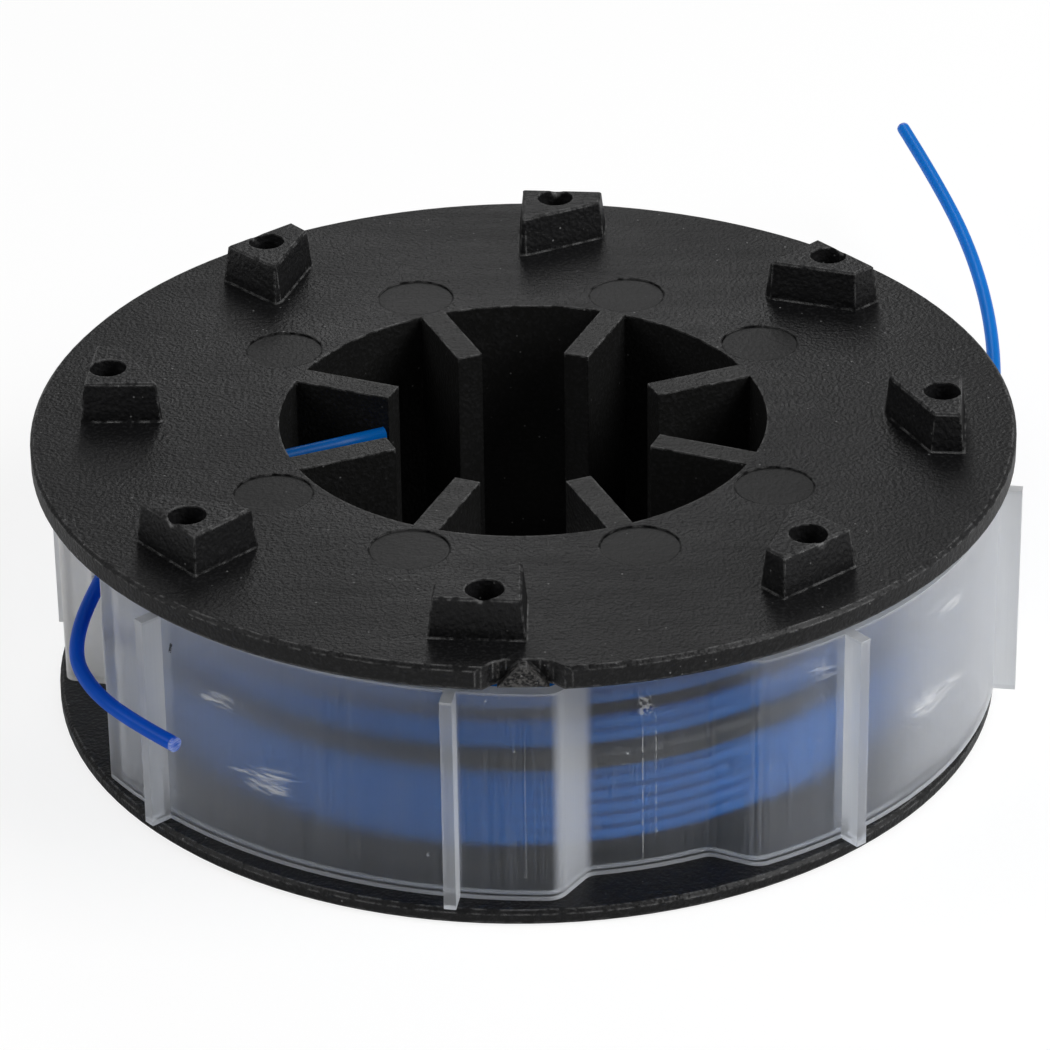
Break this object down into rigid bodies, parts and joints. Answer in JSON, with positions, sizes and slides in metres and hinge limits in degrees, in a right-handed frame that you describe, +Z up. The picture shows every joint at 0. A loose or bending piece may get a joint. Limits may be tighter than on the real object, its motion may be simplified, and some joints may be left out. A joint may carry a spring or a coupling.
{
  "type": "trimmer line spool",
  "caption": "Black plastic trimmer spool with two chambers of blue line, wedge drive lugs on its top flange and a frosted retaining band.",
  "frame": {"origin": "centre of the lower flange's underside", "axes": "+Z up the bore towards the drive lugs, +Y away from the side that carries the moulding gate, +X to the right"},
  "size_m": [0.1036, 0.1522, 0.0338],
  "materials": {
    "black_plastic": "satin",
    "blue_line": "satin",
    "frosted_plastic": "satin"
  },
  "bodies": {
    "root": {"spool": "black_plastic", "upper_winding": "blue_line", "lower_winding": "blue_line", "left_line_end": "blue_line", "right_line_end": "blue_line", "retaining_band": "frosted_plastic"}
  },
  "joints": []
}
